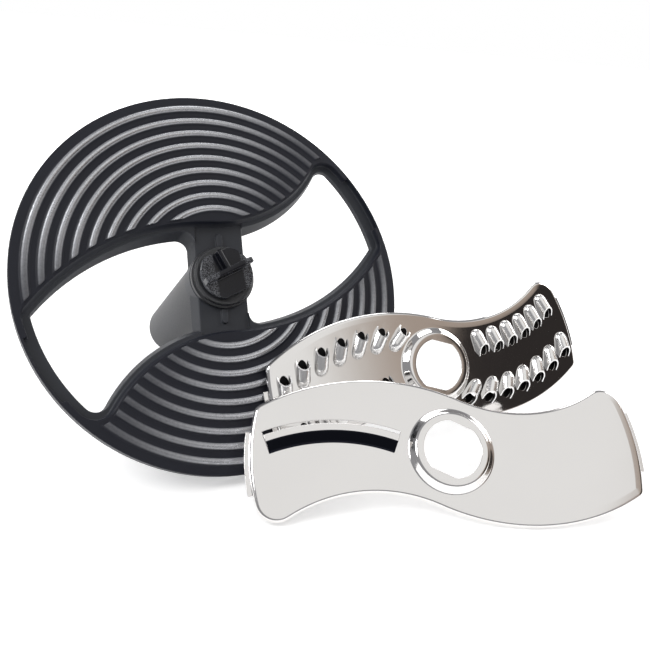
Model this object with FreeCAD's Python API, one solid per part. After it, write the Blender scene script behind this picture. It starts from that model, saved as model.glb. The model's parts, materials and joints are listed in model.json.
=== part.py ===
import FreeCAD, Part
import math
import os

from FreeCAD import Matrix, Placement, Vector

# Food processor insert carrier with a grating and a slicing insert, leaning as they stand on a table.
# Millimetres. Each piece is drawn flat in its group's own frame, +Z out of the working face, and then the
# carrier and the inserts are stood up against each other with the table at Z = 0.

# Carrier disc: the seat's long axis is X, the top face of the wings is Z = 0
disc_radius = 85.0
plate_thickness = 2.6
rim_height = 6.5
rim_wall = 2.4
edge_round = 0.8

# Concentric ridges on the wings
ridge_count = 9
ridge_outer_radius = 79.2
ridge_pitch = 6.0
ridge_height = 1.2
ridge_top_half = 0.8
ridge_base_half = 1.8
ridge_seat_margin = 3.0

# S outline shared by the inserts and their seat: a lobe and a hollow, turned half round for the other end
insert_half_length = 81.5
lobe_x = 33.0
lobe_top = 31.0
lobe_radius = 94.0
hollow_low = 16.5
lobe_corner = 3.2
hollow_corner = 6.2

# Seat in the carrier, as offsets from the insert's outline
seat_depth = 3.5
seat_clearance = 0.7
seat_draft = 1.3
seat_end_radius = 82.3
seat_wall = 2.0
ledge_edge = -0.8
skirt_edge = -3.0
window_end_radius = 79.0
skirt_depth = 11.5
skirt_hub_radius = 24.0
notch_radius = 84.1
notch_half = 14.0
notch_shift = 3.0

# Bridge across the seat and the round pad under the collar
bridge_width = 21.8
bridge_foot_width = 26.0
bridge_angle = 64.0
bridge_top = -4.6
bridge_corner = 5.0
pad_radius = 14.2
pad_bottom = -14.0
bridge_rib_width = 2.8
bridge_rib_end = 20.5
bridge_rib_height = 1.4

# Drive sleeve and the keyed bush in its mouth
sleeve_radius = 13.8
sleeve_bore = 10.5
sleeve_length = 100.2
spigot_wall = 1.9
spigot_length = 12.0
bush_radius = 10.45
bush_length = 36.0
bush_inset = 3.0
spindle_radius = 6.0
key_width = 3.0
key_depth = 1.8

# Collar, locking knob and its fastening, all on the carrier's axis
collar_radius = 14.0
collar_step = 0.8
collar_top = 1.0
stem_radius = 5.0
stem_clearance = 0.1
stem_end = -15.2
neck_radius = 8.0
turn_gap = 0.3
head_bottom = 2.2
head_top = 4.4
head_radius = 11.6
head_half_flat = 9.9
fin_top = 9.2
fin_thickness = 2.6
cross_rib_length = 9.9
cross_rib_thickness = 2.0
knob_edge = 0.4
knob_rest_angle = 25.0
spring_washer_radius = 8.0
spring_washer_thickness = 0.5
washer_radius = 7.6
washer_thickness = 1.0
screw_radius = 1.9
screw_head_radius = 3.6
screw_head_height = 2.4
screw_length = 12.0
screw_clearance = 0.05

# Insert sheets: the top face of the sheet is Z = 0 and the hole is at the origin
sheet = 0.8
hem_depth = 2.4
hem_bend = 1.2
boss_foot_radius = 18.0
boss_top_radius = 14.8
boss_height = 3.0
boss_edge = 0.7
hole_radius = 12.0
hole_half_flat = 10.85
hole_angle = -26.0
tab_reach = 83.4
tab_low = -17.0
tab_high = 9.0

# Slicing edge on the left half of the slicing insert
blade_centre = Vector(-48.5, -69.5, 0)
blade_half_angle = 20.0
blade_slot_radius = 84.0
blade_edge_radius = 80.5
blade_foot_radius = 73.0
blade_lift = 1.9
blade_bevel = 1.3
blade_cheek_angle = 0.7

# Scoop teeth on the grating insert: two staggered rows in each half, aimed round the axis
tooth_outer_count = 7
tooth_inner_count = 6
tooth_outer_start = 22.2
tooth_inner_start = 27.2
tooth_pitch = 8.7
tooth_outer_inset = 12.0
tooth_inner_inset = 12.6
tooth_sides = 8
tooth_radius = 2.6
tooth_bore = 2.0
tooth_length = 8.6
tooth_tail_length = 2.0
tooth_tail_radius = 1.1
tooth_tail_height = -0.3
tooth_mouth_height = 1.7

# How the pieces lean: heading about Z, inclination from the table, turn in the piece's own plane
carrier_heading = 30.4
carrier_spin = 19.0
slicer_place = (101.4, -42.6)
slicer_lean = (7.4, 39.0, 1.2)
grater_place = (98.3, 7.0)
grater_lean = (24.9, 56.3, 7.1)
grater_table_gap = 1.5

# Centres of the two arcs of the S outline: the hollow's radius makes the arcs meet tangentially
lobe_centre = Vector(-lobe_x, lobe_top - lobe_radius, 0)
hollow_rise = hollow_low + lobe_radius - lobe_top
hollow_radius = (4 * lobe_x**2 + hollow_rise**2 - lobe_radius**2) / (2 * (lobe_radius - hollow_rise))
hollow_centre = Vector(lobe_x, hollow_low + hollow_radius, 0)
z_axis = Vector(0, 0, 1)


def cylinder(radius, low, high):
    return Part.makeCylinder(radius, high - low, Vector(0, 0, low))


def ring(inner, outer, low, high):
    return cylinder(outer, low, high).cut(cylinder(inner, low - 1, high + 1))


def bar(length, width, low, high, degrees=0.0):
    box = Part.makeBox(length, width, high - low, Vector(-length / 2, -width / 2, low))
    box.rotate(Vector(), z_axis, degrees)
    return box


def revolved(points, centre=Vector(), degrees=360.0, start=0.0):
    """Turns a closed outline of (radius, height) points about a vertical line through centre."""
    outline = [Vector(radius, 0, height) for radius, height in points]
    face = Part.Face(Part.makePolygon(outline + outline[:1]))
    solid = face.revolve(Vector(), z_axis, degrees)
    solid.rotate(Vector(), z_axis, start)
    solid.translate(centre)
    return solid


def circle_meeting(centre_a, radius_a, centre_b, radius_b, side):
    """The point where two circles meet, on the left (side 1) or right (side -1) of the line from a to b."""
    span = centre_b - centre_a
    gap = span.Length
    along = (gap**2 + radius_a**2 - radius_b**2) / (2 * gap)
    across = math.sqrt(radius_a**2 - along**2)
    left = Vector(-span.y, span.x, 0)
    return centre_a + span * (along / gap) + left * (side * across / gap)


def arc(centre, radius, start, end):
    middle = (start - centre) + (end - centre)
    return Part.Arc(start, centre + middle.normalize() * radius, end).toShape()


def on_circle(centre, radius, towards):
    return centre + (towards - centre).normalize() * radius


def s_wire(offset, end_radius, height):
    """The S outline grown by offset, closed by arcs about the axis, at a height."""
    lobe = lobe_radius + offset
    hollow = hollow_radius - offset
    small = lobe_corner + offset
    large = hollow_corner + offset
    opposite_lobe = -lobe_centre
    crossing = on_circle(lobe_centre, lobe, hollow_centre)
    low_corner = circle_meeting(Vector(), end_radius - small, opposite_lobe, lobe - small, -1)
    high_corner = circle_meeting(Vector(), end_radius - large, hollow_centre, hollow + large, -1)
    lobe_end = on_circle(opposite_lobe, lobe, low_corner)
    rim_start = on_circle(Vector(), end_radius, low_corner)
    rim_end = on_circle(Vector(), end_radius, high_corner)
    hollow_end = on_circle(hollow_centre, hollow, high_corner)
    half = [
        arc(opposite_lobe, lobe, -crossing, lobe_end),
        arc(low_corner, small, lobe_end, rim_start),
        arc(Vector(), end_radius, rim_start, rim_end),
        arc(high_corner, large, rim_end, hollow_end),
        arc(hollow_centre, hollow, hollow_end, crossing),
    ]
    other = [edge.copy() for edge in half]
    for edge in other:
        edge.rotate(Vector(), z_axis, 180)
    wire = Part.Wire(half + other)
    wire.translate(Vector(0, 0, height))
    return wire


def s_prism(offset, end_radius, low, high):
    return Part.Face(s_wire(offset, end_radius, low)).extrude(Vector(0, 0, high - low))


def s_taper(low_offset, high_offset, low_end, high_end, low, high):
    return Part.makeLoft([s_wire(low_offset, low_end, low), s_wire(high_offset, high_end, high)], True, True)


def edges_at(shape, height, kind=None):
    """Edges that lie in one horizontal plane, all of them or those of one curve kind."""
    found = []
    for edge in shape.Edges:
        box = edge.BoundBox
        flat = abs(box.ZMin - height) < 1e-3 and abs(box.ZMax - height) < 1e-3
        if flat and (kind is None or isinstance(edge.Curve, kind)):
            found.append(edge)
    return found


def ridges():
    """Sloped ribs about the axis, kept off the seat."""
    rings = []
    for index in range(ridge_count):
        radius = ridge_outer_radius - index * ridge_pitch
        rings.append(revolved([
            (radius - ridge_base_half, -0.2),
            (radius - ridge_base_half, 0.0),
            (radius - ridge_top_half, ridge_height),
            (radius + ridge_top_half, ridge_height),
            (radius + ridge_base_half, 0.0),
            (radius + ridge_base_half, -0.2),
        ]))
    keep_off = s_prism(ridge_seat_margin, seat_end_radius + ridge_seat_margin, -1, ridge_height + 1)
    return [one.cut(keep_off) for one in rings]


def windows():
    """The two openings beside the bridge, drafted like the skirt, each with one well rounded corner."""
    draft = (ledge_edge - skirt_edge) / (skirt_depth - seat_depth)
    clear_top = 0.5
    top_edge = ledge_edge + draft * (seat_depth + clear_top)
    shape = s_taper(skirt_edge, top_edge, window_end_radius, window_end_radius, -skirt_depth, clear_top)
    section = [
        Vector(0, -bridge_width / 2, 1),
        Vector(0, -bridge_width / 2, bridge_top),
        Vector(0, -bridge_foot_width / 2, -skirt_depth),
        Vector(0, bridge_foot_width / 2, -skirt_depth),
        Vector(0, bridge_width / 2, bridge_top),
        Vector(0, bridge_width / 2, 1),
    ]
    bridge = Part.Face(Part.makePolygon(section + section[:1])).extrude(Vector(2 * disc_radius, 0, 0))
    bridge.translate(Vector(-disc_radius, 0, 0))
    bridge.rotate(Vector(), z_axis, bridge_angle)
    shape = shape.cut(bridge)
    turned = shape.copy()
    turned.rotate(Vector(), z_axis, -bridge_angle)
    corners = []
    for edge, straight in zip(shape.Edges, turned.Edges):
        middle = straight.CenterOfMass
        beside = abs(abs(middle.y) - bridge_width / 2) < bridge_foot_width - bridge_width
        upright = straight.BoundBox.ZLength > 1 and straight.BoundBox.XLength < skirt_depth
        if beside and upright and middle.x * middle.y > 0:
            corners.append(edge)
    return shape.makeFillet(bridge_corner, corners)


def carrier_disc():
    plate = cylinder(disc_radius, -plate_thickness, 0)
    rim = ring(disc_radius - rim_wall, disc_radius, -rim_height, 0)

    # The seat's wall and ledge hang under the plate and get deeper towards the hub
    wall_offset = seat_clearance + seat_wall
    envelope = revolved([
        (0, 0),
        (disc_radius, 0),
        (disc_radius, -rim_height),
        (window_end_radius, -rim_height),
        (skirt_hub_radius, -skirt_depth),
        (0, -skirt_depth),
    ])
    block = s_prism(wall_offset, disc_radius - rim_wall / 2, -skirt_depth, 0).common(envelope)
    body = plate.fuse([rim, block])

    top_offset = seat_clearance + seat_draft
    recess = s_taper(seat_clearance, top_offset, seat_end_radius, seat_end_radius, -seat_depth, 0.0)
    recess = recess.fuse(s_prism(top_offset, seat_end_radius, 0, 1))
    body = body.cut(recess)
    for notch_side in (0, 180):
        notch = ring(window_end_radius, notch_radius, -seat_depth, 1)
        notch = notch.common(Part.makeBox(disc_radius, 2 * notch_half, 2 * seat_depth,
                                          Vector(0, notch_shift - notch_half, -seat_depth)))
        notch.rotate(Vector(), z_axis, notch_side)
        body = body.cut(notch)
    body = body.cut(windows())

    # The bridge lies below the ledge and carries the round pad
    over_bridge = s_prism(seat_clearance, seat_end_radius, bridge_top, 1)
    over_bridge = over_bridge.common(bar(4 * disc_radius, bridge_width, bridge_top, 1, bridge_angle))
    body = body.cut(over_bridge)
    pad = cylinder(pad_radius, pad_bottom, bridge_top)
    spigot_radius = sleeve_bore - 0.05
    spigot = ring(spigot_radius - spigot_wall, spigot_radius, pad_bottom - spigot_length, pad_bottom)
    pieces = [pad, spigot]
    rib_top = bridge_top + bridge_rib_height
    rib_end_centre = bridge_rib_end - bridge_rib_width / 2
    rib = bar(2 * rib_end_centre, bridge_rib_width, bridge_top - 0.5, rib_top)
    for side in (-1, 1):
        end = cylinder(bridge_rib_width / 2, bridge_top - 0.5, rib_top)
        end.translate(Vector(side * rib_end_centre, 0, 0))
        rib = rib.fuse(end)
    rib = rib.cut(cylinder(collar_radius + 0.05, bridge_top, rib_top + 1))
    rib.rotate(Vector(), z_axis, bridge_angle)
    pieces.append(rib)
    body = body.fuse(pieces)
    body = body.cut(cylinder(stem_radius + stem_clearance, pad_bottom - 1, 1))
    body = body.fuse(ridges())
    return body.removeSplitter()


def drive_sleeve():
    tube = ring(sleeve_bore, sleeve_radius, -sleeve_length, pad_bottom)
    return tube.makeChamfer(edge_round, edges_at(tube, -sleeve_length, Part.Circle))


def drive_bush():
    low = bush_inset - sleeve_length
    bush = ring(spindle_radius, bush_radius, low, low + bush_length)
    reach = 2 * (spindle_radius + key_depth)
    return bush.cut(bar(reach, key_width, low - 1, low + bush_length + 1))


def boss_collar():
    middle = bridge_top + 0.45 * (collar_top - bridge_top)
    bore = stem_radius + stem_clearance
    return revolved([
        (bore, bridge_top),
        (collar_radius, bridge_top),
        (collar_radius, middle),
        (collar_radius - collar_step, middle),
        (collar_radius - collar_step, collar_top - collar_step),
        (collar_radius - 2 * collar_step, collar_top),
        (bore, collar_top),
    ])


def locking_knob():
    stem = cylinder(stem_radius, stem_end, head_bottom)
    neck = cylinder(neck_radius, collar_top + turn_gap, head_bottom)
    head = cylinder(head_radius, head_bottom, head_top)
    head = head.common(bar(4 * head_radius, 2 * head_half_flat, head_bottom, head_top))
    fin = bar(4 * head_radius, fin_thickness, head_bottom, fin_top)
    fin = fin.common(cylinder(head_radius, head_bottom, fin_top))
    cross = Part.makeBox(cross_rib_thickness, cross_rib_length, fin_top - head_top,
                         Vector(-cross_rib_thickness / 2, 0, head_top))
    knob = stem.fuse([neck, head, fin, cross]).removeSplitter()
    pilot = cylinder(screw_radius + screw_clearance, stem_end - 1, stem_end + screw_length)
    knob = knob.cut(pilot)
    knob = knob.makeChamfer(knob_edge, edges_at(knob, fin_top))
    knob.rotate(Vector(), z_axis, knob_rest_angle)
    return knob


def knob_spring_washer():
    top = pad_bottom - turn_gap
    low = stem_end + 0.05
    bore = stem_radius + stem_clearance
    return revolved([
        (bore, low),
        (bore, low + spring_washer_thickness),
        (spring_washer_radius, top),
        (spring_washer_radius, top - spring_washer_thickness),
    ])


def knob_washer():
    return ring(screw_radius + screw_clearance, washer_radius, stem_end - washer_thickness, stem_end)


def knob_screw():
    seat = stem_end - washer_thickness
    shank = cylinder(screw_radius, seat, seat + screw_length)
    head = cylinder(screw_head_radius, seat - screw_head_height, seat)
    slot = bar(2 * screw_head_radius + 1, 0.9, seat - screw_head_height, seat - 0.5 * screw_head_height)
    return shank.fuse(head.cut(slot)).removeSplitter()


def insert_blank():
    """The pressed sheet both inserts share: hemmed S plate, raised boss with its keyed hole, end tabs."""
    outside = s_prism(0, insert_half_length, -hem_depth, 0)
    outside = outside.makeChamfer(hem_bend, edges_at(outside, 0))
    inside = s_prism(-sheet, insert_half_length - sheet, -hem_depth - 1, -sheet)
    inside = inside.makeChamfer(hem_bend * 0.6, edges_at(inside, -sheet))
    plate = outside.cut(inside)

    slope = boss_foot_radius - boss_top_radius - 0.6
    boss = revolved([
        (boss_foot_radius, -sheet),
        (boss_foot_radius, 0),
        (boss_foot_radius - 0.6, 0),
        (boss_top_radius, boss_height - boss_edge),
        (boss_top_radius - boss_edge, boss_height),
        (hole_half_flat - 2, boss_height),
        (hole_half_flat - 2, boss_height - sheet),
        (boss_top_radius - sheet, boss_height - sheet),
        (boss_top_radius - sheet + slope, -sheet),
    ])
    plate = plate.cut(cylinder(boss_foot_radius, -sheet - 0.5, 1)).fuse(boss)

    hole = cylinder(hole_radius, -hem_depth, boss_height + 1)
    hole = hole.common(bar(4 * hole_radius, 2 * hole_half_flat, -hem_depth, boss_height + 1))
    hole.rotate(Vector(), z_axis, hole_angle)
    plate = plate.cut(hole)

    for turn in (0, 180):
        tab = ring(insert_half_length - sheet, tab_reach, -hem_depth, sheet - hem_depth)
        tab = tab.common(Part.makeBox(disc_radius, tab_high - tab_low, hem_depth,
                                      Vector(-disc_radius, tab_low, -hem_depth)))
        tab.rotate(Vector(), z_axis, turn)
        plate = plate.fuse(tab)
    return plate.removeSplitter()


def slicing_insert():
    start = 90 - blade_half_angle
    sweep = 2 * blade_half_angle
    foot = blade_foot_radius - 0.5
    slot = revolved([
        (foot, -sheet - 0.1),
        (blade_slot_radius, -sheet - 0.1),
        (blade_slot_radius, 0.1),
        (foot, 0.1),
    ], blade_centre, sweep, start)
    tip = blade_lift - 0.8 * sheet
    ramp_outline = [
        (foot, -sheet),
        (foot, 0),
        (blade_foot_radius, 0),
        (blade_edge_radius - blade_bevel, blade_lift),
        (blade_edge_radius, tip),
        (blade_foot_radius + 0.4, -sheet),
    ]
    cheek_outline = [
        (foot, -sheet),
        (foot, 0),
        (blade_foot_radius, 0),
        (blade_edge_radius - blade_bevel, blade_lift),
        (blade_edge_radius, tip),
        (blade_edge_radius, -sheet),
    ]
    blade = revolved(ramp_outline, blade_centre, sweep, start)
    cheeks = [revolved(cheek_outline, blade_centre, blade_cheek_angle, angle)
              for angle in (start, start + sweep - blade_cheek_angle)]
    return insert_blank().cut(slot).fuse([blade] + cheeks).removeSplitter()


def tooth_places():
    """Centres of the teeth of the left half: each row is an arc beside an edge, cut at even radii."""
    places = []
    for index in range(tooth_outer_count):
        radius = tooth_outer_start + index * tooth_pitch
        places.append(circle_meeting(Vector(), radius, lobe_centre, lobe_radius - tooth_outer_inset, -1))
    for index in range(tooth_inner_count):
        radius = tooth_inner_start + index * tooth_pitch
        row = hollow_radius + tooth_inner_inset
        places.append(circle_meeting(Vector(), radius, -hollow_centre, row, -1))
    return places


def tooth_tube(stations):
    """A faceted tube through (point, radius) stations that lie on one line."""
    axis = (stations[-1][0] - stations[0][0]).normalize()
    across = axis.cross(z_axis).normalize()
    over = across.cross(axis)
    rings = []
    for point, radius in stations:
        corners = []
        for side in range(tooth_sides + 1):
            around = 2 * math.pi * (side + 0.5) / tooth_sides
            corners.append(point + across * (radius * math.cos(around)) + over * (radius * math.sin(around)))
        rings.append(Part.makePolygon(corners[:-1] + corners[:1]))
    return Part.makeLoft(rings, True, True)


def grating_insert():
    plate = insert_blank()
    shells = []
    bores = []
    underside = Part.makeBox(4 * disc_radius, 4 * disc_radius, 10,
                             Vector(-2 * disc_radius, -2 * disc_radius, -10 - sheet))
    for turn in (0, 180):
        for place in tooth_places():
            aim = Vector(place.y, -place.x, 0).normalize() * (tooth_length / 2)
            tail = place - aim + Vector(0, 0, tooth_tail_height)
            mouth = place + aim + Vector(0, 0, tooth_mouth_height)
            step = (mouth - tail).normalize() * tooth_tail_length
            tip = (tail - step, tooth_tail_radius)
            shell = tooth_tube([tip, (tail, tooth_radius), (mouth, tooth_radius)]).cut(underside)
            bore = tooth_tube([(tail, tooth_bore), (mouth + step, tooth_bore)])
            for solid in (shell, bore):
                solid.rotate(Vector(), z_axis, turn)
            shells.append(shell)
            bores.append(bore)
    return plate.fuse(shells).cut(bores).removeSplitter()


def leaning_frame(heading, inclination, spin):
    """Axes of a leaning piece: along it, up it and out of its face."""
    head = math.radians(heading)
    lean = math.radians(inclination)
    turn = math.radians(spin)
    normal = Vector(math.sin(lean) * math.sin(head), -math.sin(lean) * math.cos(head), math.cos(lean))
    level = Vector(math.cos(head), math.sin(head), 0)
    uphill = normal.cross(level)
    along = level * math.cos(turn) + uphill * math.sin(turn)
    up = uphill * math.cos(turn) - level * math.sin(turn)
    return along, up, normal


def leaning_placement(along, up, normal, origin):
    return Placement(Matrix(along.x, up.x, normal.x, origin.x,
                            along.y, up.y, normal.y, origin.y,
                            along.z, up.z, normal.z, origin.z,
                            0, 0, 0, 1))


def stood_on_table(shape, lean, place, gap=0.0):
    """Placement of a leaning piece whose lowest point is the gap above the table."""
    along, up, normal = leaning_frame(*lean)
    flat = leaning_placement(along, up, normal, Vector(place[0], place[1], 0))
    leaning = shape.copy()
    leaning.Placement = flat
    low = leaning.optimalBoundingBox(False).ZMin
    return leaning_placement(along, up, normal, Vector(place[0], place[1], gap - low))


carrier_pieces = {
    "carrier_disc": carrier_disc(),
    "drive_sleeve": drive_sleeve(),
    "drive_bush": drive_bush(),
    "boss_collar": boss_collar(),
    "locking_knob": locking_knob(),
    "knob_spring_washer": knob_spring_washer(),
    "knob_washer": knob_washer(),
    "knob_screw": knob_screw(),
}
slicer = slicing_insert()
grater = grating_insert()

# The carrier rests on its rim and on the end of its sleeve, which settles its inclination
carrier_inclination = math.degrees(math.atan2(sleeve_length - rim_height, disc_radius - sleeve_radius))
carrier_lean = (carrier_heading, carrier_inclination, carrier_spin)
carrier_group = Part.Compound([carrier_pieces["carrier_disc"], carrier_pieces["drive_sleeve"]])
carrier_at = stood_on_table(carrier_group, carrier_lean, (0, 0))
slicer_at = stood_on_table(slicer, slicer_lean, slicer_place)
grater_at = stood_on_table(grater, grater_lean, grater_place, grater_table_gap)

placed = {}
for name, shape in carrier_pieces.items():
    placed[name] = (shape, carrier_at)
placed["slicing_insert"] = (slicer, slicer_at)
placed["grating_insert"] = (grater, grater_at)
for name, (shape, placement) in placed.items():
    shape.Placement = placement
box = Part.Compound([shape for shape, placement in placed.values()]).optimalBoundingBox(False)
to_origin = Vector(-box.Center.x, -box.Center.y, -box.ZMin)

os.makedirs("parts", exist_ok=True)
for name, (shape, placement) in placed.items():
    shape.translate(to_origin)
    shape.exportStep("parts/" + name + ".step")
    state = "valid" if shape.isValid() else "NOT VALID"
    print(name, state, len(shape.Solids), "solid", round(shape.Volume, 1))

print("size", [round(value, 2) for value in (box.XLength, box.YLength, box.ZLength)])
for name, placement in (("carrier", carrier_at), ("slicer", slicer_at), ("grater", grater_at)):
    origin = placement.Base + to_origin
    columns = [placement.Rotation.multVec(axis) for axis in (Vector(1, 0, 0), Vector(0, 1, 0), z_axis)]
    print(name, "origin", [round(value, 3) for value in origin])
    for axis, column in zip("XYZ", columns):
        print(name, axis, [round(value, 6) for value in column])
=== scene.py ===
import json
import math

import bmesh
import bpy
from mathutils import Matrix, Vector


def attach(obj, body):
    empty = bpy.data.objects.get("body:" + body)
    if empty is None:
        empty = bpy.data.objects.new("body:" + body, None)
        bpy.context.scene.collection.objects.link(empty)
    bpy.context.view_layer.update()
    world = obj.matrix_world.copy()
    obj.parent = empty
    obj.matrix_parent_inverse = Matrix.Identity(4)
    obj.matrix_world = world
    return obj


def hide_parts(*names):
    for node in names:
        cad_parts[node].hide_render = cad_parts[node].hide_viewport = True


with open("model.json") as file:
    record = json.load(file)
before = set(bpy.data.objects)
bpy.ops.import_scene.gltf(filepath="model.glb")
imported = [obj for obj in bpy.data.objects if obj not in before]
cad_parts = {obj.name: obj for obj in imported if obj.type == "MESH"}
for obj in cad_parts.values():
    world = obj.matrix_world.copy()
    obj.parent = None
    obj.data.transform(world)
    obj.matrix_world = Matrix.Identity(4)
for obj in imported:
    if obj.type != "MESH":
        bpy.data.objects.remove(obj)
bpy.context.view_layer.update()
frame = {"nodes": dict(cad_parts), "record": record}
scene = bpy.context.scene
scene.view_settings.view_transform = "Standard"
print("frame loaded:", sorted(frame["nodes"]))


# camera at the photo's angle, lengths in metres and pixels of a 650 x 650 image
photoCamera = {
    "place": (-0.00159, -0.27886, 0.1773),
    "pitchDown": 23.22,
    "roll": -5.18,
    "focalPixels": 681.7,
    "axisPixel": (337.6, 313.4),
    "imagePixels": 650,
    "sensorWidth": 36,
    "clipStart": 0.005,
}


def makeCamera(settings):
    pitch = math.radians(settings["pitchDown"])
    roll = math.radians(settings["roll"])
    forward = Vector((0, math.cos(pitch), -math.sin(pitch)))
    level = Vector((1, 0, 0))
    down = forward.cross(level)
    right = level * math.cos(roll) + down * math.sin(roll)
    up = level * math.sin(roll) - down * math.cos(roll)
    size = settings["imagePixels"]
    lens = bpy.data.cameras.new("photoCamera")
    lens.sensor_width = settings["sensorWidth"]
    lens.lens = settings["sensorWidth"] * settings["focalPixels"] / size
    lens.shift_x = (size / 2 - settings["axisPixel"][0]) / size
    lens.shift_y = (settings["axisPixel"][1] - size / 2) / size
    lens.clip_start = settings["clipStart"]
    camera = bpy.data.objects.new("photoCamera", lens)
    turn = Matrix((right, up, -forward)).transposed()
    camera.matrix_world = Matrix.Translation(settings["place"]) @ turn.to_4x4()
    scene.collection.objects.link(camera)
    scene.camera = camera


makeCamera(photoCamera)
print("camera placed")


# short ways to add shader nodes, where a source is another node's output or a fixed value
def feed(tree, source, socket):
    if isinstance(source, bpy.types.NodeSocket):
        tree.links.new(source, socket)
    else:
        socket.default_value = source


def addMath(tree, operation, *sources):
    node = tree.nodes.new("ShaderNodeMath")
    node.operation = operation
    for source, socket in zip(sources, node.inputs):
        feed(tree, source, socket)
    return node.outputs[0]


def addVectorMath(tree, operation, *sources):
    node = tree.nodes.new("ShaderNodeVectorMath")
    node.operation = operation
    for source, socket in zip(sources, node.inputs):
        feed(tree, source, socket)
    return node.outputs["Value" if operation in ("DOT_PRODUCT", "LENGTH") else "Vector"]


def addRange(tree, value, span, to=(0, 1), smooth=True):
    node = tree.nodes.new("ShaderNodeMapRange")
    node.interpolation_type = "SMOOTHSTEP" if smooth else "LINEAR"
    for name, limit in zip(("From Min", "From Max", "To Min", "To Max"), (*span, *to)):
        node.inputs[name].default_value = limit
    tree.links.new(value, node.inputs["Value"])
    return node.outputs["Result"]


def addMix(tree, factor, low, high, kind="RGBA"):
    node = tree.nodes.new("ShaderNodeMix")
    node.data_type = kind
    feed(tree, factor, node.inputs["Factor"])
    feed(tree, low, node.inputs["A"])
    feed(tree, high, node.inputs["B"])
    return node.outputs["Result"]


def addNoise(tree, place, scale, detail):
    node = tree.nodes.new("ShaderNodeTexNoise")
    node.inputs["Detail"].default_value = detail
    tree.links.new(place, node.inputs["Vector"])
    feed(tree, scale, node.inputs["Scale"])
    return node.outputs["Fac"]


def objectPlace(tree):
    return tree.nodes.new("ShaderNodeTexCoord").outputs["Object"]


def opaque(colour):
    return (*colour, 1)


# studio: pale floor, a bright ceiling in a dim room with one dark side, soft lamps
studio = {
    "floorHalf": 6.0,
    "floorColour": (0.86, 0.86, 0.86),
    "floorLift": 0.42,
    "floorFade": (0.25, 0.7),
    "surround": (0.3, 0.3, 0.31),
    "sides": {
        "ceiling": {"direction": (0.3, -0.38, 0.87), "edge": (0.78, 0.87), "colour": (0.9, 0.895, 0.885)},
        "warmSide": {"direction": (0.9, -0.12, 0.45), "edge": (0.86, 0.94), "colour": (0.42, 0.35, 0.3)},
        "rightSide": {"direction": (0.9, -0.2, 0.38), "edge": (0.955, 0.968), "colour": (0.03, 0.026, 0.025)},
    },
    "lamps": {
        "keyLamp": {"place": (-0.85, -0.35, 0.85), "aim": (-0.03, 0, 0.05), "size": 0.6, "power": 7.0},
        "backLamp": {"place": (-0.15, 0.95, 0.95), "aim": (-0.03, 0, 0.06), "size": 0.9, "power": 7.0},
        "sideLamp": {"place": (0.95, 0.45, 0.75), "aim": (0.02, 0, 0.05), "size": 0.6, "power": 4.0},
    },
}


def makeFloor(settings):
    shape = bmesh.new()
    bmesh.ops.create_grid(shape, x_segments=1, y_segments=1, size=settings["floorHalf"])
    mesh = bpy.data.meshes.new("floor")
    shape.to_mesh(mesh)
    shape.free()
    floor = bpy.data.objects.new("floor", mesh)
    scene.collection.objects.link(floor)
    mesh.materials.append(makePaper(settings))


def makePaper(settings):
    paint = bpy.data.materials.new("floorPaper")
    paint.use_nodes = True
    tree = paint.node_tree
    tree.nodes.clear()
    diffuse = tree.nodes.new("ShaderNodeBsdfDiffuse")
    diffuse.inputs["Color"].default_value = opaque(settings["floorColour"])
    reach = addVectorMath(tree, "LENGTH", objectPlace(tree))
    fade = addRange(tree, reach, settings["floorFade"], to=(settings["floorLift"], 1))  # white far out
    path = tree.nodes.new("ShaderNodeLightPath").outputs
    mirrored = addMath(tree, "MAXIMUM", path["Is Glossy Ray"], path["Is Transmission Ray"])
    seen = addMath(tree, "MAXIMUM", path["Is Camera Ray"], mirrored)
    glow = tree.nodes.new("ShaderNodeEmission")
    tree.links.new(addMath(tree, "MULTIPLY", seen, fade), glow.inputs["Strength"])
    both = tree.nodes.new("ShaderNodeAddShader")
    tree.links.new(diffuse.outputs[0], both.inputs[0])
    tree.links.new(glow.outputs[0], both.inputs[1])
    out = tree.nodes.new("ShaderNodeOutputMaterial")
    tree.links.new(both.outputs[0], out.inputs["Surface"])
    return paint


def makeSurround(settings):
    world = bpy.data.worlds.new("studioSurround")
    world.use_nodes = True
    scene.world = world
    tree = world.node_tree
    tree.nodes.clear()
    direction = tree.nodes.new("ShaderNodeTexCoord").outputs["Generated"]
    around = opaque(settings["surround"])
    for side in settings["sides"].values():
        toSide = addVectorMath(tree, "DOT_PRODUCT", direction, Vector(side["direction"]).normalized())
        around = addMix(tree, addRange(tree, toSide, side["edge"]), around, opaque(side["colour"]))
    path = tree.nodes.new("ShaderNodeLightPath").outputs
    shown = addMix(tree, path["Is Camera Ray"], around, (1, 1, 1, 1))
    back = tree.nodes.new("ShaderNodeBackground")
    tree.links.new(shown, back.inputs["Color"])
    out = tree.nodes.new("ShaderNodeOutputWorld")
    tree.links.new(back.outputs[0], out.inputs["Surface"])


def makeLamps(lamps):
    for name, lamp in lamps.items():
        light = bpy.data.lights.new(name, "AREA")
        light.shape = "DISK"
        light.size = lamp["size"]
        light.energy = lamp["power"]
        holder = bpy.data.objects.new(name, light)
        holder.location = lamp["place"]
        aim = Vector(lamp["aim"]) - Vector(lamp["place"])
        holder.rotation_euler = aim.to_track_quat("-Z", "Y").to_euler()
        scene.collection.objects.link(holder)


makeFloor(studio)
makeSurround(studio)
makeLamps(studio["lamps"])
print("studio lit")


# grain that every finish shares
grainPattern = {"detail": 4, "patchScale": 28, "patchDetail": 3}


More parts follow.
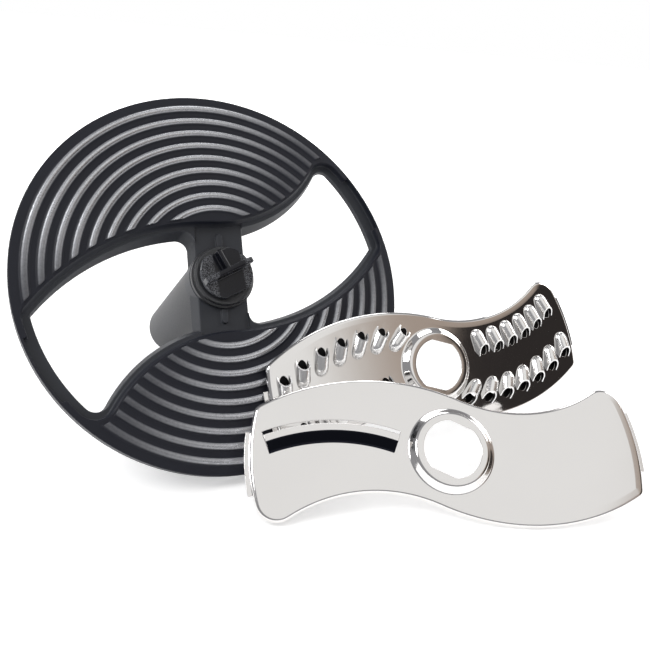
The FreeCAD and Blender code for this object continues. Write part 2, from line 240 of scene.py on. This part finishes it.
def makeFineGrain(pattern):
    group = bpy.data.node_groups.new("fineGrain", "ShaderNodeTree")
    group.interface.new_socket("Scale", in_out="INPUT", socket_type="NodeSocketFloat")
    group.interface.new_socket("Stretch", in_out="INPUT", socket_type="NodeSocketVector")
    group.interface.new_socket("Height", in_out="OUTPUT", socket_type="NodeSocketFloat")
    group.interface.new_socket("Patches", in_out="OUTPUT", socket_type="NodeSocketFloat")
    inside = group.nodes.new("NodeGroupInput").outputs
    outside = group.nodes.new("NodeGroupOutput").inputs
    place = objectPlace(group)
    stretched = addVectorMath(group, "MULTIPLY", place, inside["Stretch"])
    grain = addNoise(group, stretched, inside["Scale"], pattern["detail"])
    patches = addNoise(group, place, pattern["patchScale"], pattern["patchDetail"])
    group.links.new(grain, outside["Height"])
    group.links.new(patches, outside["Patches"])
    return group


fineGrain = makeFineGrain(grainPattern)
knobTurn = next(joint for joint in frame["record"]["behaviour"]["joints"] if joint["name"] == "knob_turn")


def paintSheenOnRaised(tree, shader, tone, gloss, paintedSheen, recess):
    # what stands above the disc's face gets a painted sheen: light grey and metallic, strongest in mid wing,
    # with a lower roughness for the crests' real polish. What lies below the face is painted lighter, a
    # painted reflection of the pale surroundings
    place = objectPlace(tree)
    fromHub = addVectorMath(tree, "SUBTRACT", place, knobTurn["pos_m"])
    height = addVectorMath(tree, "DOT_PRODUCT", fromHub, knobTurn["axis"])
    raised = addRange(tree, height, paintedSheen["heights"])
    speckle = addNoise(tree, place, paintedSheen["speckleScale"], paintedSheen["speckleDetail"])
    broken = addRange(tree, speckle, paintedSheen["speckleSpan"], to=(paintedSheen["leastSheen"], 1), smooth=False)
    aroundHub = addVectorMath(tree, "NORMALIZE", fromHub)
    acrossWing = addVectorMath(tree, "DOT_PRODUCT", aroundHub, paintedSheen["wingMiddle"])
    eitherWing = addMath(tree, "ABSOLUTE", acrossWing)
    # the painted highlight is strongest in mid wing and weaker towards the wing ends
    highlightAlongWing = addRange(tree, eitherWing, paintedSheen["highlightSpan"], to=(paintedSheen["leastHighlight"], 1))  # most in mid wing
    paintedSheenMask = addMath(tree, "MULTIPLY", raised, addMath(tree, "MULTIPLY", broken, highlightAlongWing))
    # below the disc's face the plastic is painted lighter, a painted reflection of the pale surroundings
    sunken = addRange(tree, height, recess["heights"])
    paintedBelowTone = addMix(tree, sunken, tone, opaque(recess["colour"]))
    paintedSheenTone = addMix(tree, paintedSheenMask, paintedBelowTone, opaque(paintedSheen["colour"]))
    crestGloss = addMix(tree, paintedSheenMask, gloss, paintedSheen["roughness"], kind="FLOAT")
    tree.links.new(paintedSheenTone, shader.inputs["Base Color"])
    tree.links.new(crestGloss, shader.inputs["Roughness"])
    tree.links.new(addMath(tree, "MULTIPLY", paintedSheenMask, paintedSheen["silvery"]), shader.inputs["Metallic"])


def paintGlintsOnSides(tree, shader, tone, paintedGlints):
    # both sides of the knob's head carry painted glints, a light speckle that stands for light catching their
    # texture; the middle is plain
    place = objectPlace(tree)
    fromHub = addVectorMath(tree, "SUBTRACT", place, knobTurn["pos_m"])
    across = addVectorMath(tree, "DOT_PRODUCT", fromHub, paintedGlints["across"])
    offMiddle = addMath(tree, "ABSOLUTE", addMath(tree, "SUBTRACT", across, paintedGlints["middle"]))
    sides = addRange(tree, offMiddle, paintedGlints["sideSpan"], smooth=False)
    speckle = addNoise(tree, place, paintedGlints["speckleScale"], paintedGlints["speckleDetail"])
    dots = addRange(tree, speckle, paintedGlints["speckleSpan"], smooth=False)
    shown = addMath(tree, "MULTIPLY", sides, dots)
    tree.links.new(addMix(tree, shown, tone, opaque(paintedGlints["colour"])), shader.inputs["Base Color"])


def paintRampDarkReflection(tree, shader, tone, black):
    # the faces of the slicing edge's ramp carry this attribute and are painted near-black, a painted dark
    # reflection
    ramp = tree.nodes.new("ShaderNodeAttribute")
    ramp.attribute_name = "paintedDarkReflection"
    tree.links.new(addMix(tree, ramp.outputs["Fac"], tone, opaque(black)), shader.inputs["Base Color"])


def makeFinish(name, finish):
    paint = bpy.data.materials.new(name)
    paint.use_nodes = True
    tree = paint.node_tree
    shader = tree.nodes["Principled BSDF"]
    shader.inputs["Metallic"].default_value = finish.get("metallic", 0)
    shader.inputs["Specular IOR Level"].default_value = finish.get("specular", 0.5)
    grain = tree.nodes.new("ShaderNodeGroup")
    grain.node_tree = fineGrain
    grain.inputs["Scale"].default_value = finish["grainScale"]
    grain.inputs["Stretch"].default_value = finish.get("grainStretch", (1, 1, 1))
    tone = addMix(tree, grain.outputs["Patches"], opaque(finish["dark"]), opaque(finish["light"]))
    tree.links.new(tone, shader.inputs["Base Color"])
    gloss = addRange(tree, grain.outputs["Height"], (0, 1), to=finish["roughness"], smooth=False)
    tree.links.new(gloss, shader.inputs["Roughness"])
    bump = tree.nodes.new("ShaderNodeBump")
    bump.inputs["Strength"].default_value = finish["bump"]
    bump.inputs["Distance"].default_value = finish.get("bumpDepth", 0.0002)
    tree.links.new(grain.outputs["Height"], bump.inputs["Height"])
    tree.links.new(bump.outputs["Normal"], shader.inputs["Normal"])
    if "paintedSheen" in finish:
        paintSheenOnRaised(tree, shader, tone, gloss, finish["paintedSheen"], finish["recess"])
    if "paintedDarkReflection" in finish:
        paintRampDarkReflection(tree, shader, tone, finish["paintedDarkReflection"])
    if "paintedGlints" in finish:
        paintGlintsOnSides(tree, shader, tone, finish["paintedGlints"])
    return paint


finishes = {
    "carrierPlastic": {"dark": (0.007, 0.008, 0.014), "light": (0.013, 0.0148, 0.024), "specular": 0.3,
                       "roughness": (0.4, 0.52), "grainScale": 1400, "bump": 0.1,
                       # below the disc's face: painted lighter, a painted reflection of the pale surroundings
                       "recess": {"heights": (-0.0012, -0.0032), "colour": (0.036, 0.039, 0.047)},
                       # the crests' light metallic colour is a painted sheen; their lower roughness is a real
                       # polish
                       "paintedSheen": {"heights": (0.0003, 0.0012), "colour": (0.6, 0.61, 0.64), "roughness": 0.2,
                                  "silvery": 0.85, "speckleScale": 900, "speckleDetail": 3,
                                  "speckleSpan": (0.3, 0.6), "leastSheen": 0.8,
                                  "wingMiddle": (-0.6305, 0.271, 0.727), "highlightSpan": (0.35, 1),
                                  "leastHighlight": 0.16}},
    "sleevePlastic": {"dark": (0.028, 0.03, 0.035), "light": (0.045, 0.047, 0.053), "specular": 0.35,
                      "roughness": (0.4, 0.52), "grainScale": 1200, "bump": 0.1},
    "collarPlastic": {"dark": (0.01, 0.011, 0.014), "light": (0.03, 0.031, 0.035),
                      "roughness": (0.24, 0.36), "grainScale": 2400, "bump": 0.9, "bumpDepth": 0.0003},
    "knobPlastic": {"dark": (0.004, 0.0045, 0.008), "light": (0.008, 0.009, 0.014), "specular": 0.35,
                    "roughness": (0.14, 0.22), "grainScale": 1600, "bump": 0.15,
                    # light speckle on the knob's sides: painted glints
                    "paintedGlints": {"across": (0.863, 0.506, 0), "middle": 0.001, "sideSpan": (0.0058, 0.0066),
                                 "colour": (0.14, 0.145, 0.16), "speckleScale": 2200, "speckleDetail": 2,
                                 "speckleSpan": (0.42, 0.62)}},
    "slicerSteel": {"dark": (0.79, 0.777, 0.767), "light": (0.84, 0.826, 0.816), "metallic": 1,
                    "roughness": (0.09, 0.13), "grainScale": 500, "grainStretch": (0.06, 1, 1), "bump": 0.006,
                    # the ramp's colour: a painted dark reflection
                    "paintedDarkReflection": (0.016, 0.017, 0.024)},
    "graterSteel": {"dark": (0.79, 0.775, 0.76), "light": (0.85, 0.84, 0.83), "metallic": 1,
                    "roughness": (0.05, 0.08), "grainScale": 500, "bump": 0.008},
    "scoopSteel": {"dark": (0.8, 0.79, 0.78), "light": (0.87, 0.865, 0.86), "metallic": 1,
                   "roughness": (0.2, 0.27), "grainScale": 500, "bump": 0.01},
    # painted shade for the scoops' inner walls and tongues
    "scoopShade": {"dark": (0.012, 0.012, 0.013), "light": (0.025, 0.024, 0.024), "metallic": 1,
                   "roughness": (0.35, 0.45), "grainScale": 500, "bump": 0.02},
    "fastenerSteel": {"dark": (0.5, 0.5, 0.51), "light": (0.62, 0.62, 0.63), "metallic": 1,
                      "roughness": (0.25, 0.35), "grainScale": 900, "bump": 0.08},
}
paints = {name: makeFinish(name, finish) for name, finish in finishes.items()}
print("finishes made")


# a copy of a construction node with rounded edges takes its place, angles in degrees
edgeWork = {
    "mergeWithin": 2e-6,
    "flatWithin": 0.6,
    "sharp": 26,
    "thinPoint": 20,
    "sheetCorner": 50,
    "roundSteps": 2,
    "faceWeight": 90,
}
mergeWithin = edgeWork["mergeWithin"]
sharpEdge = math.radians(edgeWork["sharp"])
thinPoint = math.radians(edgeWork["thinPoint"])


def dressNode(node, piece):
    shape = bmesh.new()
    shape.from_mesh(frame["nodes"][node].data)
    bmesh.ops.remove_doubles(shape, verts=shape.verts, dist=mergeWithin)
    bmesh.ops.dissolve_limit(shape, angle_limit=math.radians(edgeWork["flatWithin"]),
                             verts=shape.verts, edges=shape.edges)
    for edge in shape.edges:
        edge.smooth = len(edge.link_faces) == 2 and edge.calc_face_angle() < sharpEdge
    if "crests" in piece:
        roundCrests(shape, piece["crests"])
    weighEdges(shape)
    dressed = finishPiece(shape, piece)
    if "edgeRound" in piece:
        roundEdges(dressed, piece["edgeRound"], "WEIGHT")
    evenShading(dressed)
    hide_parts(node)


def roundCrests(shape, crests):
    # the long edges of the ridges' flat tops: level with the crests, and running round the hub
    hub = Vector(knobTurn["pos_m"])
    axis = Vector(knobTurn["axis"])
    within = crests["within"]
    top = {vert for vert in shape.verts if abs((vert.co - hub).dot(axis) - crests["height"]) < within}
    edges = []
    for edge in shape.edges:
        near, far = ((vert.co - hub).cross(axis).length for vert in edge.verts)
        if not edge.smooth and top.issuperset(edge.verts) and abs(near - far) < within:
            edges.append(edge)
    bmesh.ops.bevel(shape, geom=edges, offset=crests["round"], offset_type="OFFSET", affect="EDGES",
                    segments=crests["steps"], profile=0.5, material=-1, clamp_overlap=False)


def weighEdges(shape):
    # sharp edges are rounded, but not where two of them meet in a thin point
    weight = shape.edges.layers.float.new("bevel_weight_edge")
    chosen = {edge for edge in shape.edges
              if len(edge.link_faces) == 2 and edge.calc_face_angle() > sharpEdge}
    thin = set()
    for face in shape.faces:
        for corner in face.loops:
            pair = {corner.edge, corner.link_loop_prev.edge}
            if corner.calc_angle() < thinPoint and pair <= chosen:
                thin |= pair
    for edge in chosen - thin:
        edge[weight] = 1


def finishPiece(shape, piece):
    for face in shape.faces:
        face.smooth = True
    mesh = bpy.data.meshes.new(piece["name"])
    shape.to_mesh(mesh)
    shape.free()
    mesh.materials.append(paints[piece["paint"]])
    finished = bpy.data.objects.new(piece["name"], mesh)
    scene.collection.objects.link(finished)
    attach(finished, piece["body"])
    return finished


def roundEdges(finished, width, limit):
    rounding = finished.modifiers.new("roundEdges", "BEVEL")
    rounding.width = width
    rounding.segments = edgeWork["roundSteps"]
    rounding.limit_method = limit
    rounding.angle_limit = math.radians(edgeWork["sheetCorner"])
    rounding.use_clamp_overlap = False


def evenShading(finished):
    even = finished.modifiers.new("evenShading", "WEIGHTED_NORMAL")
    even.keep_sharp = True
    even.weight = edgeWork["faceWeight"]


dressing = {
    "carrier_disc": {"name": "carrierDisc", "body": "carrier", "slot": "carrier_plastic",
                     "paint": "carrierPlastic", "edgeRound": 0.00035,
                     "crests": {"height": 0.0012, "round": 0.00072, "steps": 4, "within": 0.00001}},
    "drive_sleeve": {"name": "driveSleeve", "body": "carrier", "slot": "sleeve_plastic",
                     "paint": "sleevePlastic", "edgeRound": 0.0003},
    "drive_bush": {"name": "driveBush", "body": "carrier", "slot": "collar_plastic",
                   "paint": "collarPlastic", "edgeRound": 0.0003},
    "boss_collar": {"name": "bossCollar", "body": "carrier", "slot": "collar_plastic",
                    "paint": "collarPlastic", "edgeRound": 0.00025},
    "locking_knob": {"name": "lockingKnob", "body": "knob", "slot": "knob_plastic",
                     "paint": "knobPlastic", "edgeRound": 0.0004},
    "knob_spring_washer": {"name": "springWasher", "body": "knob", "slot": "fastener_steel",
                           "paint": "fastenerSteel"},
    "knob_washer": {"name": "flatWasher", "body": "knob", "slot": "fastener_steel",
                    "paint": "fastenerSteel", "edgeRound": 0.00015},
    "knob_screw": {"name": "knobScrew", "body": "knob", "slot": "fastener_steel",
                   "paint": "fastenerSteel", "edgeRound": 0.00015},
}
for node, piece in dressing.items():
    dressNode(node, piece)
print("carrier and knob dressed:", len(dressing))


# the pressed S sheet that both inserts share, in metres on its own plane with the hole at the origin
sheet = {
    "halfLength": 0.0815,
    "lobeX": 0.033,
    "lobeTop": 0.031,
    "lobeRadius": 0.094,
    "hollowLow": 0.0165,
    "lobeCorner": 0.0042,
    "hollowCorner": 0.0085,
    "arcSteps": (44, 8, 18, 10, 34),
    "thickness": 0.0008,
    "hemDepth": 0.0024,
    "hemRound": 0.0017,
    "hemSteps": 8,
    "crownWidth": 0.0019,
    "crownRise": 0.00014,
    "flatMargin": 0.0004,
    "bossSteps": 112,
    "bossFoot": 0.018,
    "bossProfile": ((0.0177, 0.00008), (0.0172, 0.0004), (0.0157, 0.0022), (0.0153, 0.0026),
                    (0.0148, 0.00288), (0.0142, 0.003), (0.0137, 0.003)),
    "holeRadius": 0.012,
    "holeHalfFlat": 0.01085,
    "holeAngle": -26.0,
    "tabReach": 0.0834,
    "tabFrom": -0.017,
    "tabTo": 0.009,
    "tabZone": 0.9,
    "tabLift": 0.00002,
    "edgeRound": 0.00016,
}
zAxis = Vector((0, 0, 1))
lobeCentre = Vector((-sheet["lobeX"], sheet["lobeTop"] - sheet["lobeRadius"], 0))
hollowRise = sheet["hollowLow"] - lobeCentre.y
hollowRadius = ((4 * sheet["lobeX"] ** 2 + hollowRise ** 2 - sheet["lobeRadius"] ** 2)
                / (2 * (sheet["lobeRadius"] - hollowRise)))
hollowCentre = Vector((sheet["lobeX"], sheet["hollowLow"] + hollowRadius, 0))


def circleMeeting(centreA, radiusA, centreB, radiusB, side):
    span = centreB - centreA
    along = (span.length ** 2 + radiusA ** 2 - radiusB ** 2) / (2 * span.length)
    across = math.sqrt(radiusA ** 2 - along ** 2)
    left = zAxis.cross(span)
    return centreA + (span * along + left * side * across) / span.length


def onCircle(centre, radius, towards):
    return centre + (towards - centre).normalized() * radius


def spinArc(shape, start, centre, end, steps):
    # carries a vertex round the centre as far as the end point's direction
    turn = (start.co - centre).xy.angle_signed((end - centre).xy)
    made = bmesh.ops.spin(shape, geom=[start], cent=centre, axis=zAxis, angle=-turn, steps=steps)
    return next(item for item in made["geom_last"] if isinstance(item, bmesh.types.BMVert))


def sOutline(shape, height):
    otherLobe = -lobeCentre
    small = sheet["lobeCorner"]
    large = sheet["hollowCorner"]
    reach = sheet["halfLength"]
    crossing = onCircle(lobeCentre, sheet["lobeRadius"], hollowCentre)
    lowCorner = circleMeeting(Vector(), reach - small, otherLobe, sheet["lobeRadius"] - small, -1)
    highCorner = circleMeeting(Vector(), reach - large, hollowCentre, hollowRadius + large, -1)
    turns = (
        (otherLobe, onCircle(otherLobe, sheet["lobeRadius"], lowCorner)),
        (lowCorner, onCircle(Vector(), reach, lowCorner)),
        (Vector(), onCircle(Vector(), reach, highCorner)),
        (highCorner, onCircle(hollowCentre, hollowRadius, highCorner)),
        (hollowCentre, crossing),
    )
    last = shape.verts.new(-crossing)
    for (centre, end), steps in zip(turns, sheet["arcSteps"]):
        last = spinArc(shape, last, centre, end, steps)
    half = list(shape.verts) + list(shape.edges)
    copied = bmesh.ops.duplicate(shape, geom=half)["geom"]
    copiedVerts = [item for item in copied if isinstance(item, bmesh.types.BMVert)]
    bmesh.ops.rotate(shape, verts=copiedVerts, cent=(0, 0, 0), matrix=Matrix.Rotation(math.pi, 3, "Z"))
    bmesh.ops.remove_doubles(shape, verts=shape.verts, dist=mergeWithin)
    bmesh.ops.translate(shape, verts=shape.verts, vec=(0, 0, height))
    return list(shape.edges)


def edgesSince(shape, before):
    return [edge for edge in shape.edges if edge not in before]


def extrudeLoop(shape, edges):
    made = bmesh.ops.extrude_edge_only(shape, edges=edges)["geom"]
    verts = [item for item in made if isinstance(item, bmesh.types.BMVert)]
    edges = [item for item in made if isinstance(item, bmesh.types.BMEdge)]
    return verts, edges


def scaleAbout(shape, verts, centre, factor):
    bmesh.ops.scale(shape, verts=verts, vec=(factor, factor, 1), space=Matrix.Translation(-centre))


def stepLoop(shape, edges, centre, start, end):
    # extrudes a loop and carries it from one radius and height to the next
    verts, edges = extrudeLoop(shape, edges)
    scaleAbout(shape, verts, centre, end[0] / start[0])
    bmesh.ops.translate(shape, verts=verts, vec=(0, 0, end[1] - start[1]))
    return verts, edges


def hemmedPlate(shape):
    # wall, cap, rounded hem and crowned margin, then the cap opens again for the boss
    foot = sOutline(shape, -sheet["hemDepth"])
    verts, edges = extrudeLoop(shape, foot)
    bmesh.ops.translate(shape, verts=verts, vec=(0, 0, sheet["hemDepth"] - sheet["crownRise"]))
    bmesh.ops.contextual_create(shape, geom=edges)
    bmesh.ops.bevel(shape, geom=edges, offset=sheet["hemRound"], offset_type="OFFSET", affect="EDGES",
                    segments=sheet["hemSteps"], profile=0.5, material=-1, clamp_overlap=False)
    cap = max(shape.faces, key=lambda face: len(face.verts))
    bmesh.ops.inset_region(shape, faces=[cap], thickness=sheet["crownWidth"], use_even_offset=True)
    bmesh.ops.translate(shape, verts=cap.verts, vec=(0, 0, sheet["crownRise"]))
    bmesh.ops.inset_region(shape, faces=[cap], thickness=sheet["flatMargin"], use_even_offset=True)
    openEdges = list(cap.edges)
    bmesh.ops.delete(shape, geom=[cap], context="FACES_ONLY")
    return openEdges


def raiseBoss(shape, edges):
    profile = sheet["bossProfile"]
    steps = ((sheet["bossFoot"] + sheet["flatMargin"], 0), (sheet["bossFoot"], 0), *profile,
             (sheet["holeRadius"], profile[-1][1]))
    for start, end in zip(steps, steps[1:]):
        verts, edges = stepLoop(shape, edges, Vector(), start, end)
    across = Matrix.Rotation(math.radians(sheet["holeAngle"]), 3, "Z") @ Vector((0, 1, 0))
    most = sheet["holeHalfFlat"]
    for vert in verts:  # the two flats of the keyed hole
        over = vert.co.dot(across)
        vert.co -= across * (over - max(-most, min(most, over)))


def endTabs(shape):
    low = -sheet["hemDepth"]
    farX = -sheet["tabZone"] * sheet["halfLength"]
    for side in (-1, 1):
        chosen = []
        for edge in shape.edges:
            level = all(abs(vert.co.z - low) < mergeWithin for vert in edge.verts)
            ends = [vert.co * side for vert in edge.verts]
            if level and all(end.x < farX and sheet["tabFrom"] < end.y < sheet["tabTo"] for end in ends):
                chosen.append(edge)
        verts = extrudeLoop(shape, chosen)[0]
        scaleAbout(shape, verts, Vector(), sheet["tabReach"] / sheet["halfLength"])
        bmesh.ops.translate(shape, verts=verts, vec=(0, 0, sheet["tabLift"]))


def startSheet():
    shape = bmesh.new()
    # this face attribute marks the slicer ramp's painted dark reflection
    shape.faces.layers.float.new("paintedDarkReflection")
    rim = hemmedPlate(shape)
    before = set(shape.edges)
    bmesh.ops.create_circle(shape, segments=sheet["bossSteps"],
                            radius=sheet["bossFoot"] + sheet["flatMargin"])
    return shape, rim, edgesSince(shape, before)


def fillSheet(shape, rim, boss, openings):
    bmesh.ops.triangle_fill(shape, edges=rim + boss + openings, use_beauty=True, normal=zAxis)
    raiseBoss(shape, boss)
    endTabs(shape)


def standUp(lean, hole):
    heading, inclination, turn = (math.radians(angle) for angle in lean)
    leaning = (Matrix.Rotation(heading, 4, "Z") @ Matrix.Rotation(inclination, 4, "X")
               @ Matrix.Rotation(turn, 4, "Z"))
    return Matrix.Translation(hole) @ leaning


def finishSheet(shape, piece, node):
    bmesh.ops.recalc_face_normals(shape, faces=shape.faces)
    flat = max(shape.faces, key=lambda face: face.calc_area())
    if flat.normal.z < 0:
        bmesh.ops.reverse_faces(shape, faces=shape.faces)
    bmesh.ops.transform(shape, verts=shape.verts, matrix=standUp(piece["lean"], piece["hole"]))
    finished = finishPiece(shape, piece)
    wall = finished.modifiers.new("sheetWall", "SOLIDIFY")
    wall.thickness = sheet["thickness"]
    wall.offset = -1
    roundEdges(finished, sheet["edgeRound"], "ANGLE")
    evenShading(finished)
    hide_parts(node)


# slicing insert: one raised edge with a slot behind it, about its own centre
slicer = {
    "name": "slicingInsert", "body": "slicer", "slot": "insert_steel", "paint": "slicerSteel",
    "lean": (7.4, 39.0, 1.2),
    "hole": (0.049413, -0.04466, 0.020948),
    "edgeCentre": (-0.0485, -0.0695, 0),
    "halfAngle": 20.0,
    "edgeSteps": 40,
    "slotRadius": 0.0826,
    "footRadius": 0.073,
    "ramp": ((0.0734, 0.00003), (0.0739, 0.00014), (0.0772, 0.0016), (0.0778, 0.00178), (0.0784, 0.00184),
             (0.0806, 0.0019)),
    # ramp faces up to this radius get the painted dark reflection
    "darkReflectionTo": 0.0778,
}


def slicerSlot(shape):
    centre = Vector(slicer["edgeCentre"])
    half = math.radians(slicer["halfAngle"])
    start = Matrix.Rotation(half, 3, "Z") @ Vector((0, 1, 0))
    end = Matrix.Rotation(-half, 3, "Z") @ Vector((0, 1, 0))
    sides = []
    arcs = []
    for radius in (slicer["footRadius"], slicer["slotRadius"]):
        first = shape.verts.new(centre + start * radius)
        before = set(shape.edges)
        last = spinArc(shape, first, centre, centre + end, slicer["edgeSteps"])
        arcs.append(edgesSince(shape, before))
        sides.append((first, last))
    lipRadius = slicer["ramp"][-1][0]
    cheeks = []
    backs = []
    for nearVert, farVert, direction in zip(*sides, (start, end)):
        cheekVert = shape.verts.new(centre + direction * lipRadius)
        cheeks.append(shape.edges.new((nearVert, cheekVert)))
        backs.append(shape.edges.new((cheekVert, farVert)))
    foot, slotBack = arcs
    return foot, cheeks, slotBack + backs


def raiseEdge(shape, foot, cheeks):
    centre = Vector(slicer["edgeCentre"])
    paintedDarkReflection = shape.faces.layers.float["paintedDarkReflection"]
    chains = [[edge.verts[1], edge.verts[0]] for edge in cheeks]
    steps = ((slicer["footRadius"], 0), *slicer["ramp"])
    edges = foot
    for start, end in zip(steps, steps[1:]):
        verts, edges = stepLoop(shape, edges, centre, start, end)
        for face in {face for edge in edges for face in edge.link_faces}:
            # ramp faces up to the set radius are marked for the painted dark reflection, the lip above stays
            # bright steel
            face[paintedDarkReflection] = 1 if end[0] <= slicer["darkReflectionTo"] else 0
        for chain in chains:
            beside = [edge.other_vert(chain[-1]) for edge in chain[-1].link_edges]
            chain.append(next(vert for vert in beside if vert in verts))
    for chain in chains:
        shape.faces.new(chain)


slicerShape, slicerRim, slicerBoss = startSheet()
foot, cheeks, behind = slicerSlot(slicerShape)
fillSheet(slicerShape, slicerRim, slicerBoss, foot + cheeks + behind)
raiseEdge(slicerShape, foot, cheeks)
finishSheet(slicerShape, slicer, "slicing_insert")
print("slicing insert pressed")


# grating insert: open scoops over holes in the sheet, two rows in each half, aimed round the axis
grater = {
    "name": "gratingInsert", "body": "grater", "slot": "grater_steel", "paint": "graterSteel",
    "lean": (24.9, 56.3, 7.1),
    "hole": (0.046313, 0.00494, 0.033723),
    "rows": {
        "outer": {"count": 7, "start": 0.0222, "inset": 0.012},
        "inner": {"count": 6, "start": 0.0272, "inset": 0.0126},
    },
    "pitch": 0.0087,
    "holeHalf": (0.0052, 0.0024),
    "holeSteps": 20,
}
scoop = {
    "name": "scoopTeeth", "body": "grater", "slot": "grater_steel", "paint": "scoopSteel",
    "outer": ((-0.0078, 0), (-0.0076, 0.0011), (-0.0071, 0.0019), (-0.0063, 0.0025), (-0.0053, 0.0029),
              (-0.004, 0.0031), (0.001, 0.0031), (0.009, 0.0031)),
    "inner": ((-0.007, 0), (-0.0067, 0.001), (-0.006, 0.0017), (-0.0048, 0.0023), (-0.0034, 0.0025),
              (0.001, 0.0025), (0.009, 0.0025)),
    "steps": 32,
    "halfLength": 0.0054,
    "tailHeight": -0.0003,
    "mouthHeight": 0.0017,
    "mouthPoint": 0.0042,
    "mouthTilt": 52.0,
    "footHeight": -0.0004,
    "sharp": 40,
}
# the scoops' inner walls and the tongues under their mouths are painted shade: near-black steel where the
# real scoops only lie in shadow
scoopInside = {
    "name": "scoopInsides", "body": "grater", "slot": "grater_steel", "paint": "scoopShade",
    "tongueHalf": (0.0054, 0.0026),
    "tongueSteps": 32,
    "tongueDrop": -0.001,
    "tongueSlope": 9.5,
}


def toothPlaces():
    outer = grater["rows"]["outer"]
    inner = grater["rows"]["inner"]
    arcs = ((outer, lobeCentre, sheet["lobeRadius"] - outer["inset"]),
            (inner, -hollowCentre, hollowRadius + inner["inset"]))
    left = []
    for row, centre, arcRadius in arcs:
        for index in range(row["count"]):
            fromHole = row["start"] + index * grater["pitch"]
            left.append(circleMeeting(Vector(), fromHole, centre, arcRadius, -1))
    aims = []
    for place in left + [-place for place in left]:
        aims.append(Matrix.Translation(place) @ Matrix.Rotation(math.atan2(-place.x, place.y), 4, "Z"))
    return aims


def scoopHoles(shape):
    before = set(shape.edges)
    stretch = Matrix.Diagonal((*grater["holeHalf"], 1, 1))
    for aim in toothPlaces():
        hole = bmesh.ops.create_circle(shape, segments=grater["holeSteps"], radius=1)["verts"]
        bmesh.ops.transform(shape, verts=hole, matrix=aim @ stretch)
    return edgesSince(shape, before)


def wholeShape(shape):
    return list(shape.verts) + list(shape.edges) + list(shape.faces)


def makeScoop():
    shape = bmesh.new()
    # the inner wall takes the second material, which becomes the scoops' painted shade
    for index, wall in enumerate(("outer", "inner")):
        before = set(shape.faces)
        line = [shape.verts.new((along, 0, radius)) for along, radius in scoop[wall]]
        edges = [shape.edges.new(pair) for pair in zip(line, line[1:])]
        bmesh.ops.spin(shape, geom=line + edges, cent=(0, 0, 0), axis=(1, 0, 0), angle=2 * math.pi,
                       steps=scoop["steps"], use_merge=True)
        for face in set(shape.faces) - before:
            face.material_index = index
    bmesh.ops.remove_doubles(shape, verts=shape.verts, dist=mergeWithin)
    bmesh.ops.bisect_plane(shape, geom=wholeShape(shape), plane_co=(0, 0, 0), plane_no=zAxis,
                           clear_inner=True)
    bmesh.ops.recalc_face_normals(shape, faces=shape.faces)
    rise = scoop["mouthHeight"] - scoop["tailHeight"]
    lift = Vector((0, 0, (scoop["mouthHeight"] + scoop["tailHeight"]) / 2))
    tilt = Matrix.Rotation(-math.atan2(rise, 2 * scoop["halfLength"]), 4, "Y")
    bmesh.ops.transform(shape, verts=shape.verts, matrix=Matrix.Translation(lift) @ tilt)
    dropSides(shape, lift, tilt @ zAxis)
    lean = math.radians(scoop["mouthTilt"])
    cut = bmesh.ops.bisect_plane(shape, geom=wholeShape(shape), plane_co=(scoop["mouthPoint"], 0, lift.z),
                                 plane_no=(math.cos(lean), 0, math.sin(lean)), clear_outer=True)
    lip = [item for item in cut["geom_cut"] if isinstance(item, bmesh.types.BMEdge)]
    for face in bmesh.ops.bridge_loops(shape, edges=lip)["faces"]:
        face.material_index = 0
    bmesh.ops.recalc_face_normals(shape, faces=shape.faces)
    addTongue(shape)
    mesh = bpy.data.meshes.new("oneScoop")
    shape.to_mesh(mesh)
    shape.free()
    return mesh


def dropSides(shape, lift, archUp):
    # the arch stands on straight sides that reach below the sheet's face
    low = [edge for edge in shape.edges if edge.is_boundary
           and all(abs((vert.co - lift).dot(archUp)) < mergeWithin for vert in edge.verts)]
    walls = [(edge, edge.link_faces[0].material_index) for edge in low]
    for vert in extrudeLoop(shape, low)[0]:
        vert.co.z = min(vert.co.z, scoop["footHeight"])
    for edge, index in walls:
        for face in edge.link_faces:
            face.material_index = index


def addTongue(shape):
    # half an oval that slopes down into the hole under the mouth, a dark sheet of painted shade where the
    # real hole is open
    oval = bmesh.ops.create_circle(shape, segments=scoopInside["tongueSteps"], radius=1)["verts"]
    front = [vert for vert in oval if vert.co.x > -mergeWithin]
    front.sort(key=lambda vert: vert.co.y)
    bmesh.ops.delete(shape, geom=[vert for vert in oval if vert not in front], context="VERTS")
    shape.faces.new(front).material_index = 1
    slope = Matrix.Rotation(-math.radians(scoopInside["tongueSlope"]), 4, "Y")
    drop = Matrix.Translation((0, 0, scoopInside["tongueDrop"]))
    stretch = Matrix.Diagonal((*scoopInside["tongueHalf"], 1, 1))
    bmesh.ops.transform(shape, verts=front, matrix=drop @ slope @ stretch)


def setScoops(oneScoop, piece, wall):
    shape = bmesh.new()
    stand = standUp(grater["lean"], grater["hole"])
    for aim in toothPlaces():
        before = set(shape.verts)
        shape.from_mesh(oneScoop)
        added = [vert for vert in shape.verts if vert not in before]
        bmesh.ops.transform(shape, verts=added, matrix=stand @ aim)
    others = [face for face in shape.faces if face.material_index != wall]
    bmesh.ops.delete(shape, geom=others, context="FACES")
    for face in shape.faces:
        face.material_index = 0
    for edge in shape.edges:
        edge.smooth = edge.is_boundary or edge.calc_face_angle() < math.radians(scoop["sharp"])
    finished = finishPiece(shape, piece)
    evenShading(finished)
    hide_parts("grating_insert")


graterShape, graterRim, graterBoss = startSheet()
fillSheet(graterShape, graterRim, graterBoss, scoopHoles(graterShape))
finishSheet(graterShape, grater, "grating_insert")
scoopMesh = makeScoop()
for wall, piece in enumerate((scoop, scoopInside)):
    setScoops(scoopMesh, piece, wall)
bpy.data.meshes.remove(scoopMesh)
print("grating insert pressed, scoops:", len(toothPlaces()))
